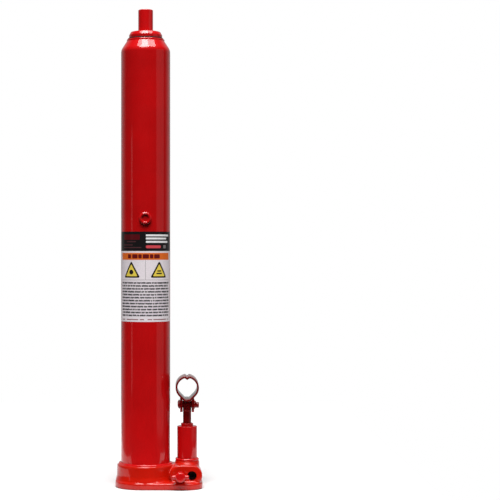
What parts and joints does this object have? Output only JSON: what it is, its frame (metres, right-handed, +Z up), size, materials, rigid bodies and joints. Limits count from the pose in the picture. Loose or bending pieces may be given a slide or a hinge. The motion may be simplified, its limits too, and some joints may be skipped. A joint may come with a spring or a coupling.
{
  "type": "hydraulic bottle jack",
  "caption": "Tall long-ram hydraulic bottle jack: oil column on a cast base, side pump with a handle socket and lever link, screw release valve and relief valve.",
  "frame": {"origin": "on the ram's axis at the underside of the base, which stands on the floor", "axes": "+Z up along the ram, +X from the ram towards the pump, -Y towards the front with the valves and the socket's mouth"},
  "size_m": [0.1135, 0.089, 0.62],
  "materials": {
    "red_enamel": "glossy sprayed enamel",
    "printed_film": "printed film, satin",
    "dark_steel": "blackened",
    "ground_steel": "ground",
    "copper": "plain",
    "brass": "machined",
    "black_rubber": "matt",
    "seal_polymer": "matt"
  },
  "bodies": {
    "root": {"base_casting": "red_enamel", "reservoir_tube": "red_enamel", "top_nut": "red_enamel", "label": "printed_film", "pump_cylinder": "red_enamel", "pump_gland_ring": "red_enamel", "fulcrum_pin": "red_enamel", "fulcrum_clip": "dark_steel", "relief_screw": "dark_steel", "relief_spring": "dark_steel", "inner_cylinder": "ground_steel", "lower_cylinder_gasket": "copper", "upper_cylinder_gasket": "copper", "pump_gasket": "copper", "pressure_gallery_plug": "brass", "suction_gallery_plug": "brass", "suction_strainer": "brass", "nut_washer": "black_rubber", "ram_wiper": "seal_polymer", "ram_rod_seal": "black_rubber", "plunger_lip_seal": "black_rubber"},
    "ram": {"ram_rod": "red_enamel", "ram_piston": "dark_steel", "piston_cup_seal": "black_rubber", "backup_washer": "ground_steel", "piston_nut": "dark_steel"},
    "plunger": {"pump_plunger": "red_enamel", "plunger_o_ring": "black_rubber"},
    "lever": {"handle_socket": "red_enamel", "pivot_pin": "red_enamel", "pivot_clip": "dark_steel", "link_pin": "red_enamel", "link_clip": "dark_steel"},
    "link": {"fulcrum_link": "red_enamel"},
    "release_follower": {"release_o_ring": "black_rubber", "release_ball": "ground_steel"},
    "release_valve": {"release_valve_stem": "red_enamel", "release_cross_pin": "red_enamel"},
    "filler": {"filler_plug": "red_enamel"},
    "suction_check": {"suction_ball": "ground_steel"},
    "discharge_check": {"discharge_ball": "ground_steel"},
    "relief_check": {"relief_ball": "ground_steel"}
  },
  "joints": [
    {"name": "ram_lift", "type": "slide", "parent": "root", "child": "ram", "axis": [0, 0, 1], "range_m": [0, 0.49]},
    {"name": "pump_stroke", "type": "slide", "parent": "root", "child": "plunger", "axis": [0, 0, 1], "range_m": [-0.0105, 0.01]},
    {"name": "lever_swing", "type": "hinge", "parent": "plunger", "child": "lever", "pos_m": [0.054, 0, 0.1054], "axis": [1, 0, 0], "range_deg": [-23, 24]},
    {"name": "link_rock", "type": "hinge", "parent": "root", "child": "link", "pos_m": [0.054, 0.025, 0.024], "axis": [1, 0, 0], "range_deg": [-0.8, 0.8]},
    {"name": "release_travel", "type": "slide", "parent": "root", "child": "release_follower", "axis": [0, -1, 0], "range_m": [0, 0.0016]},
    {"name": "release_turn", "type": "hinge", "parent": "release_follower", "child": "release_valve", "pos_m": [0.045, -0.0445, 0.0176], "axis": [0, -1, 0], "range_deg": [0, 360]},
    {"name": "filler_pull", "type": "slide", "parent": "root", "child": "filler", "axis": [0, -1, 0], "range_m": [0, 0.015]},
    {"name": "suction_ball_lift", "type": "slide", "parent": "root", "child": "suction_check", "axis": [0, 0, 1], "range_m": [0, 0.0015]},
    {"name": "discharge_ball_lift", "type": "slide", "parent": "root", "child": "discharge_check", "axis": [0, 0, 1], "range_m": [0, 0.0015]},
    {"name": "relief_ball_lift", "type": "slide", "parent": "root", "child": "relief_check", "axis": [0, -1, 0], "range_m": [0, 0.0004]}
  ],
  "couplings": [
    {"joint": "lever_swing", "follows": "pump_stroke", "rad_per_m": -39.2},
    {"joint": "release_travel", "follows": "release_turn", "m_per_rad": 0.00023873}
  ]
}
